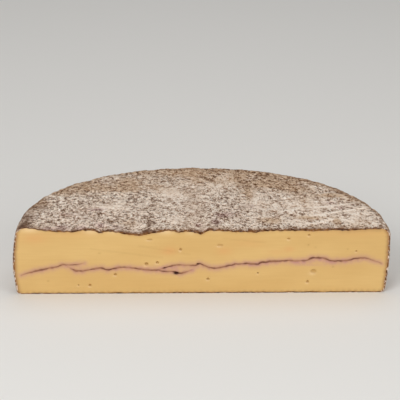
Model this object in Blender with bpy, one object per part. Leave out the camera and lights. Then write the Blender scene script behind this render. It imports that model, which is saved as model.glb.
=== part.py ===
"""A half wheel of pressed mountain cheese lying on its flat base, its cut face towards -Y.

The rind is mould-grown and craggy, and one wavy wine-dark layer runs through the paste. Metres, +Z up.
The wheel's axis stands at the middle of the cut face's foot until the last step, which centres the model.
"""
import math

import bmesh
import bpy
from mathutils import Matrix, Vector, noise

MM = 0.001

# The wheel that was cut in half
WHEEL_RADIUS = 180 * MM
WHEEL_HEIGHT = 67.4 * MM
HIGHER_LEFT = 0.9 * MM
MIDDLE_SAG = 1.3 * MM
OUT_OF_ROUND = 0.9 * MM
EGG_SHAPE = 1 * MM
RIM_WAVE = 0.6 * MM
WAVES_A_TURN = 3

# The side bulges: widest above mid height on the right and below it on the left, leaning in towards the foot
WIDEST_MEAN = 39.4 * MM
WIDEST_SWING = 6.5 * MM
FOOT_LEAN = 3.8 * MM
FOOT_RADIUS = 5 * MM
SHOULDER_RADIUS = 8 * MM

# Dents that the press cloth left in the top beside the cut: across, behind the cut, wide, deep, sunk
DENTS = (
    (-134 * MM, 0, 17 * MM, 24 * MM, 2.8 * MM),
    (-97 * MM, 0, 5 * MM, 7 * MM, 2.6 * MM),
    (-65 * MM, 0, 19 * MM, 30 * MM, 4.4 * MM),
    (-23 * MM, 0, 7 * MM, 12 * MM, 1.6 * MM),
    (-3 * MM, 0, 7 * MM, 14 * MM, 2.2 * MM),
    (36 * MM, 0, 14 * MM, 26 * MM, 1.5 * MM),
)

# Crags of the rind
CRAG_SIZE = 13 * MM
CRAG_HEIGHT = 0.8 * MM
FINE_CRAG_SIZE = 6 * MM
FINE_CRAG_SHARE = 0.5
CRAG_FADE_BEHIND_CUT = 12 * MM
CRAG_FADE_ABOVE_FOOT = 12 * MM

# Facets of the skin
ANGLE_STEPS = 96
FOOT_STEPS = 3
SIDE_STEPS = 9
SHOULDER_STEPS = 4
TOP_STEPS = 36
HALVED_BELOW = (0.5, 0.25)

# The wine-dark layer, as it shows at the cut: across and up, in millimetres
LAYER_THICKNESS = 1.2 * MM
LAYER_TIP = 0.7 * MM
LAYER_REACH = 173.5 * MM
BRANCH_REACH = 170.5 * MM
LAYER_GAP = 0.3 * MM
LAYER_STEP = 5 * MM
SLOT_RUN_OUT = 6 * MM
LAYER_COURSE = (
    (-172, 19.5), (-156, 24.1), (-137, 28.1), (-131, 30.2), (-125, 26.1), (-116, 23.2), (-97, 26.3),
    (-89, 24.4), (-76, 27.1), (-54, 24.4), (-42, 24.1), (-26, 28.7), (-8, 28.5), (-2, 30.1), (6, 26.9),
    (14, 25.8), (36, 30.1), (52, 29.5), (58, 31.4), (79, 32.9), (98, 32.9), (105, 35.5), (116, 35.5),
    (124, 32.5), (140, 33.1), (147, 34.9), (158, 34.9), (172, 29.8),
)
UPPER_BRANCH = ((-131, 30.2), (-126, 29.5), (-120, 29.9), (-112, 31.4))
LOWER_BRANCH = ((-42, 24.1), (-36, 22.7), (-27, 22.3), (-20, 20.6), (-9, 23.8))

# Eyes and nicks in the cut face: across, up, half width, half height and depth, in millimetres
EYES = (
    (-117.6, 8.9, 0.9, 0.8, 0.9), (-106.7, 8.5, 1.3, 1.2, 1.4), (-82.5, 19.5, 1.5, 1.2, 1.2),
    (-52.8, 30.3, 1.9, 1.7, 1.3), (-42.4, 31.7, 1.5, 1.3, 1.2), (-20.3, 44.9, 1.4, 1.2, 1.2),
    (6.1, 14.5, 1.5, 1.3, 1.2), (53.8, 20.5, 1, 0.9, 1.2), (107.1, 21.9, 2.8, 2.3, 1.5),
    (101.7, 11.3, 1.4, 1.3, 1.2), (101.9, 59.1, 1.2, 1.1, 1), (82.5, 55.5, 1.7, 1, 1),
    (147.5, 42.5, 1, 0.9, 1),
)
NICKS = ((-49.8, 55.1, 2.8, 0.8, 1), (17.3, 48.9, 3, 0.9, 1))
EYE_SIDES = 12
EYE_RINGS = 6

# Material colours, read by eye from the photograph
RIND_COLOUR = (0.45, 0.36, 0.29, 1)
LAYER_COLOUR = (0.22, 0.12, 0.10, 1)


def smooth_step(value):
    """0 below 0 and 1 above 1, with a smooth rise between."""
    t = min(max(value, 0), 1)
    return t * t * (3 - 2 * t)


def material(name, colour, roughness):
    """A plain Principled material."""
    made = bpy.data.materials.new(name)
    made.use_nodes = True
    shader = made.node_tree.nodes["Principled BSDF"]
    shader.inputs["Base Color"].default_value = colour
    shader.inputs["Roughness"].default_value = roughness
    shader.inputs["Metallic"].default_value = 0
    made.diffuse_color = colour
    return made


def new_object(name, bm, surface=None):
    """Puts a bmesh into the scene as an object."""
    bmesh.ops.recalc_face_normals(bm, faces=bm.faces)
    mesh = bpy.data.meshes.new(name)
    bm.to_mesh(mesh)
    bm.free()
    made = bpy.data.objects.new(name, mesh)
    bpy.context.scene.collection.objects.link(made)
    if surface:
        mesh.materials.append(surface)
    return made


def hide_as_cutter(cutter):
    """Marks an object that only cuts or joins."""
    cutter.hide_render = True
    cutter.display_type = "WIRE"


def boolean(target, tool, operation):
    """Adds an exact Boolean modifier."""
    made = target.modifiers.new(tool.name, "BOOLEAN")
    made.operation = operation
    made.solver = "EXACT"
    made.object = tool


def top_height(x, y):
    """Height of the wheel's top without its crags."""
    rim_share = (x * x + y * y) / WHEEL_RADIUS**2
    height = WHEEL_HEIGHT - HIGHER_LEFT * x / WHEEL_RADIUS - MIDDLE_SAG * (1 - rim_share)
    height += RIM_WAVE * math.sin(WAVES_A_TURN * math.atan2(y, x)) * rim_share
    for across, behind, wide, deep, sunk in DENTS:
        height -= sunk * math.exp(-(((x - across) / wide) ** 2) - ((y - behind) / deep) ** 2)
    return height


def side_radius(angle, height):
    """The bulging side's distance from the wheel's axis."""
    widest = WIDEST_MEAN + WIDEST_SWING * math.cos(angle)
    uneven = OUT_OF_ROUND * math.sin(WAVES_A_TURN * angle) + EGG_SHAPE * math.sin(2 * angle)
    return WHEEL_RADIUS + uneven - FOOT_LEAN * ((height - widest) / widest) ** 2


def crag(point):
    """How far the rind stands out at a point: none on the base, little beside the cut on the sides."""
    lumps = noise.noise(point / CRAG_SIZE) + FINE_CRAG_SHARE * noise.noise(point / FINE_CRAG_SIZE)
    return CRAG_HEIGHT * lumps * smooth_step(point.z / CRAG_FADE_ABOVE_FOOT)


def profile(angle):
    """The skin's profile at one angle, from the base's rim over side and shoulder to the top's last ring.

    Each point is its distance from the axis, its height, and the outward and upward parts of its normal.
    """
    points = []
    foot = side_radius(angle, FOOT_RADIUS) - FOOT_RADIUS
    for step in range(FOOT_STEPS):
        turn = math.radians(-90 + 90 * step / FOOT_STEPS)
        out, up = math.cos(turn), math.sin(turn)
        points.append((foot + FOOT_RADIUS * out, FOOT_RADIUS + FOOT_RADIUS * up, out, up))
    inset = WHEEL_RADIUS - SHOULDER_RADIUS
    brow = top_height(inset * math.cos(angle), inset * math.sin(angle)) - SHOULDER_RADIUS
    for step in range(SIDE_STEPS):
        height = FOOT_RADIUS + (brow - FOOT_RADIUS) * step / SIDE_STEPS
        points.append((side_radius(angle, height), height, 1, 0))
    rim = side_radius(angle, brow) - SHOULDER_RADIUS
    for step in range(SHOULDER_STEPS):
        turn = math.radians(90 * step / SHOULDER_STEPS)
        out, up = math.cos(turn), math.sin(turn)
        points.append((rim + SHOULDER_RADIUS * out, brow + SHOULDER_RADIUS * up, out, up))
    for step in range(TOP_STEPS):
        radius = rim * (1 - step / TOP_STEPS)
        points.append((radius, top_height(radius * math.cos(angle), radius * math.sin(angle)), 0, 1))
    return points


def skin_vertex(bm, angle, point):
    """One vertex of the skin, with its crag. Points at the cut stay in the cut's plane."""
    radius, height, out, up = point
    sine = math.sin(angle) if 0 < angle < math.pi else 0
    flat = Vector((radius * math.cos(angle), radius * sine, height))
    raised = crag(flat)
    if up < 1:
        raised *= 1 - out * (1 - smooth_step(flat.y / CRAG_FADE_BEHIND_CUT))
    return bm.verts.new(flat + raised * Vector((out * math.cos(angle), out * sine, up)))


def join_rings(bm, fine, coarse):
    """Faces between two neighbouring rings, where the second may have half the steps."""
    if len(fine) == len(coarse):
        for a, b, c, d in zip(fine, fine[1:], coarse[1:], coarse):
            bm.faces.new((a, b, c, d))
        return
    for index in range(len(coarse) - 1):
        first, middle, last = fine[2 * index : 2 * index + 3]
        near, far = coarse[index : index + 2]
        bm.faces.new((first, middle, near))
        bm.faces.new((middle, far, near))
        bm.faces.new((middle, last, far))


def wheel_half():
    """The half wheel before the cut face gets its slot and eyes."""
    bm = bmesh.new()
    profiles = [profile(math.pi * step / ANGLE_STEPS) for step in range(ANGLE_STEPS + 1)]
    ring_count = len(profiles[0])
    rings = []
    for index in range(ring_count):
        steps_in = index - (ring_count - TOP_STEPS)
        share = 1 - max(steps_in, 0) / TOP_STEPS
        stride = 2 ** sum(share <= limit for limit in HALVED_BELOW)
        columns = range(0, ANGLE_STEPS + 1, stride)
        rings.append([skin_vertex(bm, math.pi * c / ANGLE_STEPS, profiles[c][index]) for c in columns])
    for fine, coarse in zip(rings, rings[1:]):
        join_rings(bm, fine, coarse)
    centre = bm.verts.new(Vector((0, 0, top_height(0, 0))))
    for a, b in zip(rings[-1], rings[-1][1:]):
        bm.faces.new((a, b, centre))
    bm.faces.new(rings[0])
    right, left = [ring[0] for ring in rings], [ring[-1] for ring in rings]
    bm.faces.new(right + [centre] + left[::-1])
    bmesh.ops.triangulate(bm, faces=bm.faces)
    return bm


def along_curve(knots, step):
    """Points a step apart along a Catmull-Rom curve through the knots, given in millimetres."""
    points = [Vector((x, 0, z)) * MM for x, z in knots]
    ends = [2 * points[0] - points[1], *points, 2 * points[-1] - points[-2]]
    made = []
    for a, b, c, d in zip(ends, ends[1:], ends[2:], ends[3:]):
        count = max(1, round((c - b).length / step))
        for index in range(count):
            t = index / count
            bend, twist = 2 * a - 5 * b + 4 * c - d, 3 * b - a - 3 * c + d
            made.append(0.5 * (2 * b + (c - a) * t + bend * t**2 + twist * t**3))
    return made + [points[-1]]


def ribbon(name, knots, reach, spare, front, surface=None):
    """A sheet that shows as a wavy line at the cut and runs back to a round edge, larger by spare all round."""
    line = along_curve(knots, LAYER_STEP)
    line[0] = line[0] - (line[1] - line[0]).normalized() * spare
    line[-1] = line[-1] + (line[-1] - line[-2]).normalized() * spare
    upper, lower = [], []
    for index, point in enumerate(line):
        ahead = (line[min(index + 1, len(line) - 1)] - line[max(index - 1, 0)]).normalized()
        thickness = LAYER_TIP if index in (0, len(line) - 1) else LAYER_THICKNESS
        side = Vector((-ahead.z, 0, ahead.x)) * (thickness / 2 + spare)
        upper.append(point + side)
        lower.append(point - side)
    bm = bmesh.new()
    rows = []
    for points in (upper, lower):
        near = [bm.verts.new((p.x, front, p.z)) for p in points]
        far = [bm.verts.new((p.x, math.sqrt((reach + spare) ** 2 - p.x**2), p.z)) for p in points]
        rows.append((near, far))
    (near_up, far_up), (near_low, far_low) = rows
    for one, other in ((near_up, far_up), (far_low, near_low), (near_low, near_up), (far_up, far_low)):
        join_rings(bm, one, other)
    for end in (0, -1):
        bm.faces.new((near_up[end], far_up[end], far_low[end], near_low[end]))
    bmesh.ops.triangulate(bm, faces=bm.faces)
    return new_object(name, bm, surface)


def pits():
    """All eyes and nicks as one cutter of small spheroids centred in the cut's plane."""
    bm = bmesh.new()
    for across, up, wide, high, deep in EYES + NICKS:
        ball = bmesh.ops.create_uvsphere(bm, u_segments=EYE_SIDES, v_segments=EYE_RINGS, radius=MM)["verts"]
        bmesh.ops.scale(bm, vec=(wide, deep, high), verts=ball)
        bmesh.ops.translate(bm, vec=Vector((across, 0, up)) * MM, verts=ball)
    return new_object("pits_cutter", bm)


def centre_model(pieces, cheese):
    """Moves every piece so that the origin is under the middle of the cheese's box, at its base."""
    corners = [vertex.co for vertex in cheese.data.vertices]
    shift = Vector((0, 0, 0))
    for axis in (0, 1):
        values = [corner[axis] for corner in corners]
        shift[axis] = -(min(values) + max(values)) / 2
    shift.z = -min(corner.z for corner in corners)
    for piece in pieces:
        piece.data.transform(Matrix.Translation(shift))


def main():
    for old in list(bpy.data.objects):
        bpy.data.objects.remove(old)
    rind = material("rind", RIND_COLOUR, 0.85)
    wine = material("wine_dark", LAYER_COLOUR, 0.6)

    cheese = new_object("cheese", wheel_half(), rind)
    layer = ribbon("vein_layer", LAYER_COURSE, LAYER_REACH, 0, 0, wine)
    branches = (("upper_branch", UPPER_BRANCH), ("lower_branch", LOWER_BRANCH))
    cutters = [ribbon("slot", LAYER_COURSE, LAYER_REACH, LAYER_GAP, -SLOT_RUN_OUT)]
    joined = []
    for name, knots in branches:
        cutters.append(ribbon(name + "_slot", knots, BRANCH_REACH, LAYER_GAP, -SLOT_RUN_OUT))
        joined.append(ribbon(name, knots, BRANCH_REACH, 0, 0))
    cutters.append(pits())
    for tool in cutters:
        boolean(cheese, tool, "DIFFERENCE")
    for tool in joined:
        boolean(layer, tool, "UNION")
    for tool in cutters + joined:
        hide_as_cutter(tool)
    centre_model([cheese, layer, *cutters, *joined], cheese)


main()
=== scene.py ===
"""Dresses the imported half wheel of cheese: mould-grown rind, pale paste and a wine-dark vein.

Lengths are metres. Shapes are worked out round the wheel's axis, which stands at the middle of the cut face's
foot, and are moved into the frame at the end. There the cut face is the plane y = 0 and the food lies behind.
"""
import math
import random

import bmesh
import bpy
import numpy as np
from mathutils import Euler, Matrix, Vector, noise
from mathutils.geometry import delaunay_2d_cdt
from mathutils.kdtree import KDTree


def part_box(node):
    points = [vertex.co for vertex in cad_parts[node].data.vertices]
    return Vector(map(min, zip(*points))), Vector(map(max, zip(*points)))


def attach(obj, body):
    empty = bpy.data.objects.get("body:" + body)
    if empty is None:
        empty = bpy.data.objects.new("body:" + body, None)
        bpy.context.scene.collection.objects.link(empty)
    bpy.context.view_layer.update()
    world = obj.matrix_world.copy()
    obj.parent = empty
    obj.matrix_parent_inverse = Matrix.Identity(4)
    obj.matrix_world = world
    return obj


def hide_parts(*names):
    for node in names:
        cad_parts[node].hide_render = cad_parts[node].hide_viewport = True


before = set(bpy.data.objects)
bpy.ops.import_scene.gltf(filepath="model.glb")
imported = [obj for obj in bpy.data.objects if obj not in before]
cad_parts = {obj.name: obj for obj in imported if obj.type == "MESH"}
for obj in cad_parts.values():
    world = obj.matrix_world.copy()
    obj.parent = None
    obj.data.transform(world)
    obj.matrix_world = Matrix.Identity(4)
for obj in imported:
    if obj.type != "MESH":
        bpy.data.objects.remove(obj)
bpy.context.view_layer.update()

MM = 0.001

# The wheel, as the solid has it
WHEEL_RADIUS = 180 * MM
WHEEL_HEIGHT = 67.4 * MM
HIGHER_LEFT = 0.9 * MM
MIDDLE_SAG = 1.3 * MM
OUT_OF_ROUND = 0.9 * MM
EGG_SHAPE = 1 * MM
RIM_WAVE = 0.6 * MM
WAVES_A_TURN = 3
WIDEST_MEAN = 39.4 * MM
WIDEST_SWING = 6.5 * MM
FOOT_LEAN = 3.8 * MM
FOOT_RADIUS = 5 * MM
SHOULDER_RADIUS = 8 * MM
CRAG_SIZE = 13 * MM
CRAG_HEIGHT = 0.8 * MM
FINE_CRAG_SIZE = 6 * MM
FINE_CRAG_SHARE = 0.5
CRAG_FADE_BEHIND_CUT = 12 * MM
CRAG_FADE_ABOVE_FOOT = 12 * MM

# Dents in the top beside the cut, in millimetres: across, behind the cut, wide, deep, sunk
DENTS = (
    (-134, 0, 17, 24, 2.8), (-97, 0, 5, 7, 2.6), (-65, 0, 19, 30, 4.4), (-23, 0, 7, 12, 1.6),
    (-3, 0, 7, 14, 2.2), (36, 0, 14, 26, 1.5),
)

# The rind: how thick it is at the cut and behind it, and the mesh that carries its relief
RIND_TOP = 1.9 * MM
RIND_SIDE = 1.6 * MM
RIND_BASE = 0.9 * MM
RIND_UNEVEN = 0.3
RIND_UNEVEN_SIZE = 5 * MM
RIND_RAGGED = 0.7 * MM
RIND_RAGGED_SIZE = 2.8 * MM
# Where the rind's line at the top of the cut is thicker, in millimetres: across, half width, extra
RIND_THICKER = (
    (-167, 12, -1), (-97, 4, 0.8), (-75, 2.5, 0.9), (-56, 8, 1.5), (-41, 7, 0.8), (-9, 5, 1), (-1, 3, 1.7),
    (9, 5, 0.4), (55, 9, 1.9), (87, 14, 0.5), (108, 12, 0.8), (136, 8, 0.5), (162, 10, -0.2),
)
# How much the pale crumbs on the rind's cut show above the paste, against its sides
CRUMBS_ABOVE = 0.12
# How far the brown fringe runs back from the cut, where the mould has come off
FRINGE_DEPTH = 2.6 * MM
RIND_DEEPER_INSIDE = 3 * MM
SKIN_STEPS = 480
CORE_STEPS = 30
SKIN_PITCH = 1.2 * MM
BASE_PITCH = 6 * MM
HALVED_BELOW = (0.5, 0.25, 0.125, 0.0625)
MOST_HALVINGS = 5
BASE_HALVINGS = 2
MOULD_RELIEF = 1.1 * MM
MOULD_LEVEL = 0.65
MOULD_FADE_ABOVE_FLOOR = 2 * MM

# The vein at the cut: across and up, in millimetres, as the solid has it
LAYER_THICKNESS = 1.15 * MM
LAYER_TIP = 0.35 * MM
LAYER_TAPER = 7 * MM
LAYER_UNEVEN = 0.7
LAYER_WOBBLE = 0.5 * MM
LAYER_UNEVEN_SIZE = 3.5 * MM
LAYER_REACH = 173.5 * MM
LAYER_STEP = 0.7 * MM
LAYER_COURSE = (
    (-172, 19.5), (-156, 24.1), (-137, 28.1), (-131, 30.2), (-125, 26.1), (-116, 23.2), (-97, 26.3),
    (-89, 24.4), (-76, 27.1), (-54, 24.4), (-42, 24.1), (-26, 28.7), (-8, 28.5), (-2, 30.1), (6, 26.9),
    (14, 25.8), (36, 30.1), (52, 29.5), (58, 31.4), (79, 32.9), (98, 32.9), (105, 35.5), (116, 35.5),
    (124, 32.5), (140, 33.1), (147, 34.9), (158, 34.9), (172, 29.8),
)
UPPER_BRANCH = ((-131, 30.2), (-126, 29.5), (-120, 29.9), (-112, 31.4))
LOWER_BRANCH = ((-42, 24.1), (-36, 22.7), (-27, 22.3), (-20, 20.6), (-9, 23.8))

# Where the line is thin and pale, and where thick and dark: across, up, half width, half height, strength
FAINT_PLACES = (
    (-126.8, 27.4, 4.5, 1.9, 1.4), (-112, 31.4, 7, 3, 1), (-39.5, 25.3, 2.6, 1.2, 1),
    (-31, 22.9, 3, 1.2, 0.6), (-8, 23.9, 8, 2.4, 0.9), (164, 32, 14, 4, 0.6), (-171, 20, 6, 3, 0.6),
    (-70, 26.7, 3, 2, 0.4), (-16, 28.3, 6, 1.6, 0.35), (92, 32.9, 6, 3, 0.3),
)
STRONG_PLACES = (
    (-154, 24.7, 5, 3, 0.5), (-89, 24.4, 7, 3, 0.4), (-40, 23.9, 6, 3, 0.5), (-24, 21.1, 5, 2, 1),
    (-3, 29.9, 4, 3, 0.6), (20, 26.9, 8, 3, 0.3), (55, 30.4, 5, 3, 0.8), (70, 32.4, 8, 3, 0.6),
    (106, 35.4, 5, 3, 0.6), (130, 32.9, 7, 3, 0.8), (147, 34.9, 6, 3, 0.6),
)
FAINT_LESS = 0.7
STRONG_MORE = 0.6
# The mauve stain round the line, in the same form, and how far it and the line's brown reach
STAINS = (
    (-120, 27.4, 10, 3.2, 0.9), (-75, 25.9, 16, 3.4, 0.5), (-47, 25.4, 12, 3.5, 0.8),
    (-28, 25.1, 13, 3.2, 1.2), (-8, 25.4, 10, 3.5, 0.7), (20, 26.4, 14, 3.5, 0.55),
    (50, 29.4, 12, 3.4, 0.9), (66, 30.9, 8, 3, 0.6), (92, 31.4, 12, 3, 0.9), (108, 32.9, 14, 3.6, 0.8),
    (125, 31.4, 14, 4, 0.9), (148, 32.9, 12, 4, 0.6), (103, 28.3, 16, 0.8, 1.4), (-152, 24.9, 12, 2, 0.3),
)
STAIN_SPOTS = 0.4
STAIN_ALONG = 0.85
STAIN_REACH = 3 * MM
NEAR_VEIN = 0.9 * MM
# Faint orange blotches and small freckles in the paste, in the same form
BLOTCHES = (
    (-31, 43.5, 7, 4, 1), (21, 43.2, 8, 4, 0.7), (83, 44.9, 5, 3, 0.8), (70, 41.9, 8, 3, 0.4),
    (-159, 56.9, 12, 5, 0.8), (-120, 60.9, 30, 4, 0.3), (140, 60.9, 40, 4, 0.3), (45, 50.9, 16, 5, 0.3),
)
FRECKLES = (
    (-146.4, 13.5, 0.9, 0.8, 0.7), (-97.6, 41.5, 1.4, 0.7, 0.5), (101.5, 49.2, 0.9, 0.8, 0.7),
    (108.2, 46.6, 0.9, 0.8, 0.5), (125.7, 26.7, 0.9, 0.7, 0.7), (139, 44.8, 0.8, 0.8, 0.5),
)
# Painted highlights where the paste bulges into the rind at the top edge, in the same form
EDGE_LIGHTS = (
    (-163, 65.9, 9, 3, 1), (-105, 64.4, 7, 3.4, 1), (-85, 63.4, 7, 2.6, 0.6), (-35, 63.4, 9, 3.2, 0.9),
    (-11, 62.4, 5, 2.5, 0.6), (14, 63.4, 7, 2, 0.4),
)

# Eyes and nicks in the cut face: across, up, half width, half height and depth, in millimetres
EYES = (
    (-117.6, 8.9, 0.9, 0.8, 0.9), (-106.7, 8.5, 1.3, 1.2, 1.4), (-82.5, 19.5, 1.5, 1.2, 1.2),
    (-52.8, 30.3, 1.9, 1.7, 1.3), (-42.4, 31.7, 1.5, 1.3, 1.2), (-20.3, 44.9, 1.4, 1.2, 1.2),
    (6.1, 14.5, 1.5, 1.3, 1.2), (53.8, 20.5, 1, 0.9, 1.2), (107.1, 21.9, 2.8, 2.3, 1),
    (101.7, 11.3, 1.4, 1.3, 1.2), (101.9, 59.1, 1.2, 1.1, 1), (82.5, 55.5, 1.7, 1, 1),
    (147.5, 42.5, 1, 0.9, 1),
)
# Painted shade darkens the eyes, less so the larger ones, and each one's lower left rim gets a painted
# highlight
EYE_SHADE_TO = 1.9
EYE_LIT = 0.9
EYE_LIT_FLATTER = 0.7
NICKS = ((-49.8, 55.1, 2.8, 0.8, 1), (17.3, 48.9, 3, 0.9, 1))
# Where the hollow in the vein is painted nearly black as shade, and faint scores that the cutting wire left
SHADED_CAVITIES = ((-24.3, 20.7, 2.3, 1.2, 1.6), (52, 29.6, 1.2, 0.8, 0.5), (-3.9, 30.2, 1.2, 0.7, 0.4))
SCORES = (((-106, 46), (-38, 37)), ((-60, 49), (-12, 40)), ((20, 56), (60, 52)))
SCORE_HALF = 0.8
SCORE_STRENGTH = 0.2
# Hollows along the vein, in the form of the eyes
HOLLOWS = ((-24.3, 21.1, 2.2, 0.9, 1.8), (-35.5, 26.3, 1.1, 0.9, 1.6), (-3.9, 29.9, 1.2, 0.9, 1.4))
PIT_RINGS = (0.35, 0.7, 0.9, 1.05, 1.3)
PIT_SPOKES = 14
PITS = EYES + NICKS + HOLLOWS
PIT_SPREAD = 1.15
PIT_SHARPNESS = 1.5

# The paste's browning inside the rind: a thin line all round, and deeper at sides, foot and right end, where
# it is partly painted shade
RIM_LINE = 0.4
RIM_LINE_DEPTH = 1 * MM
RIM_DEPTH = 2.2 * MM
BROWN_AND_SHADE_AT_SIDES = 0.82
BROWN_AND_SHADE_ELSEWHERE = 0.4
# Where a change begins and how far it takes: shares of the wheel, then millimetres
ON_TOP = (0.75, 0.25)
BEHIND = (0.375, 0.625)
AT_SIDES = (168, 9)
AT_CRUMBS = (168, 6)
AT_RIGHT = (118, 20)
AT_FOOT = (0, 6)

# The cut face's mesh and its slight waves
FACE_PITCH = 1.1 * MM
FACE_JITTER = 0.25
FACE_SEED = 7
FACE_APART = 0.8
FACE_WAVE = 0.08 * MM
FACE_WAVE_SIZE = 16 * MM
FACE_WAVE_FADE = 8 * MM
VEIN_ROWS = (0.35 * MM, 0.8 * MM, 1.4 * MM, 2.1 * MM, 3 * MM)
VEIN_ROW_APART = 0.45 * MM
VEIN_RECESS = 0.2 * MM
VEIN_LIP = 0.25 * MM
VEIN_LIP_WIDTH = 0.8 * MM
RIND_GROOVE = 0.3 * MM
RIND_GROOVE_WIDTH = 0.7 * MM
PIT_APART = 0.2 * MM

# Patches of the top seen from above: across, behind the cut, half width, half depth, strength
BROWN_PATCHES = (
    (88, 116, 22, 22, 0.6), (-115, 98, 16, 14, 0.35), (71, 20, 8, 12, 0.4), (104, 82, 12, 10, 0.4),
    (-71, 118, 5, 9, 1.5), (-73, 120, 12, 14, 0.5), (-63, 108, 9, 12, 0.6), (-100, 112, 20, 14, 0.4),
    (-8, 158, 24, 9, 0.5), (65, 124, 9, 9, 0.7), (50, 100, 4, 18, 0.6), (130, 88, 14, 6, 0.8),
    (-160, 62, 12, 16, 0.7), (-139, 100, 14, 12, 0.6), (130, 17, 3, 6, 1.6), (108, 28, 15, 5, 0.6),
    (-72, 20, 9, 8, 0.4), (63, 22, 10, 9, 0.5), (150, 80, 12, 12, 0.5), (-129, 34, 7, 5, 0.5),
    (97, 30, 6, 6, 0.4), (45, 132, 7, 20, 0.5), (72, 145, 9, 12, 0.5),
)
MAUVE_PATCHES = (
    (21, 38, 7, 6, 1), (14, 19, 5, 8, 0.9), (-3, 13, 4, 5, 0.7), (49, 60, 7, 6, 0.4), (128, 68, 7, 6, 0.5),
    (136, 54, 5, 5, 0.6), (-101, 50, 9, 4, 0.9), (-128, 36, 8, 5, 0.5), (-147, 3, 6, 4, 1),
    (-133, 6, 7, 7, 0.9), (-115, 4, 5, 5, 0.9), (-97, 9, 5, 6, 0.8), (-80, 8, 8, 6, 0.5),
    (9, 0, 16, 3, 0.6), (-112, 25, 40, 25, 0.15), (30, 40, 12, 12, 0.3),
)
DARK_PATCHES = (
    (-53, 2, 3, 4, 1.6), (-50, 16, 2.2, 6, 1), (-45, 20, 1.5, 4, 0.9), (-50, 24, 4, 5, 0.4),
    (-76, 0, 2, 4, 0.8), (-66, 0, 6, 2.5, 0.5), (-10, 0, 5, 3, 0.5), (-171, 5, 8, 6, 0.9),
    (108, 0, 6, 3, 0.5), (-168, 26, 8, 20, 0.75), (-157, 58, 9, 14, 0.5), (-129, 113, 12, 14, 0.15),
    (46, 132, 7, 22, 0.25), (72, 145, 9, 12, 0.2), (98, 124, 9, 12, 0.2), (138, 97, 9, 8, 0.35),
    (151, 63, 6, 8, 0.4), (4, 50, 7, 10, 0.25), (44, 62, 6, 6, 0.35), (57, 46, 6, 6, 0.3),
    (36, 38, 12, 12, 0.15), (-9, 75, 5, 50, 0.1), (21, 38, 4, 4, 0.5), (14, 20, 3, 5, 0.4),
    (-99, 50, 5, 2, 0.5), (-114, 35, 3, 2, 0.9), (-107, 87, 3, 3, 0.8), (-115, 66, 1.2, 3, 0.8),
    (-17, 72, 2.2, 2, 1), (-46, 64, 3, 2, 0.8), (-29, 80, 1.5, 2.5, 0.8), (-22, 11, 1.3, 2, 1),
    (-32, 57, 1.3, 2, 0.7), (-2, 68, 1.5, 6, 0.6), (14, 134, 3, 3, 0.8), (-133, 7, 4, 5, 0.5),
)
PALE_PATCHES = (
    (-98, 56, 12, 7, 0.5), (-80, 60, 12, 12, 0.6), (-28, 98, 12, 18, 0.8), (-24, 24, 14, 10, 0.5),
    (57, 72, 9, 26, 0.4), (96, 64, 26, 18, 0.4), (112, 58, 7, 14, 0.4), (151, 26, 9, 18, 0.6),
    (95, 20, 16, 5, 0.4), (-20, 60, 24, 14, 0.2), (112, 55, 60, 60, 0.1), (31, 132, 10, 16, 0.5),
    (17, 110, 8, 14, 0.5), (164, 14, 6, 5, 0.6), (-63, 132, 8, 8, 0.4), (-49, 115, 8, 10, 0.4),
    (71, 46, 6, 6, 0.3),
)
# Light ridges in the mould: the places that each runs through, seen from above
RIDGES = (
    ((107, 34), (141, 45), (160, 53)), ((113, 56), (134, 61), (152, 66)),
    ((95, 11), (114, 15), (131, 26), (140, 21), (148, 9)), ((134, 96), (146, 79)),
)
RIDGE_HALF = 1.8
RIDGE_STRENGTH = 1.5
RIDGE_BROKEN_SIZE = 5 * MM
RIDGE_WHOLE = 0.9
# The brown under-layer's share on the side, further back, at the rim and near the cut. At the rim it is
# painted shade where the rounded rim turns from the light, and further back it is partly painted shade. The
# rim's band of painted shade is wider further back.
CRUST_ON_SIDE = 0.5
CRUST_AND_SHADE_BEHIND = 0.55
BROWN_SHADE_AT_RIM = 0.8
CRUST_AT_CUT = 0.35
CRUST_AT_CUT_DEPTH = 8 * MM
DARK_SHADE_AT_RIM = 0.4
RIM_SHADE_BAND = 0.03
RIM_SHADE_BAND_BEHIND = 0.1

# The mould lies in strands: their turn from the cut's direction, and how much they are drawn out
STRANDS_LEFT = (math.radians(-6), 1.25)
STRANDS_RIGHT = (math.radians(42), 1.4)
STRANDS_TURN_BETWEEN = (-25 * MM, 15 * MM)
# The threads and the gaps between them: waves a metre, and half their width in the noise
THREADS = ((170, 0.055), (320, 0.045))
GAPS = (220, 0.06)

# Noises: waves a metre, then detail, roughness and distortion where they need them
FELT = (310, 3, 0.62, 0.8)
GAP_PLACES = 190
BLOOM = (70, 4, 0.6)
BARE = (50, 4, 0.6)
FIBRE = (1000, 3, 0.65, 0.4)
TONE = (85, 4, 0.6)
BROAD_TONE = 32
GROUND_MOTTLE = 60
WORN = (260, 3, 0.6)
EDGE_MOTTLE = (160, 3)
CRUMB_PLACES = 400
RAGGED = 330
PASTE_FINE = (500, 3, 0.6)
STAIN_MOTTLE = 180
VEIN_MOTTLE = (120, 3, 0.6)
# How finely the paste's broad tones and its streaks change across, backwards and up
PASTE_SCALES = ((9, 9, 30), (30, 30, 500))
# The bumps finer than the mesh: how high and how strong
RIND_BUMP = (0.6 * MM, 0.7)
PASTE_BUMP = (0.15 * MM, 0.5)

# Colours as a screen shows them, in pairs where a noise goes between two
GROUND = ((174, 142, 117), (158, 125, 99))
# The brown colours also carry the painted shade at the rim, and in part further back
BROWN_GROUND = (152, 108, 70)
MAUVE_GROUND = (128, 88, 80)
# Pale mould on the crests; the brightest tone is partly painted highlight
CREST = ((236, 214, 193), (255, 247, 236))
BROWN_CREST = (208, 175, 140)
MAUVE_CREST = (206, 168, 156)
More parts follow.
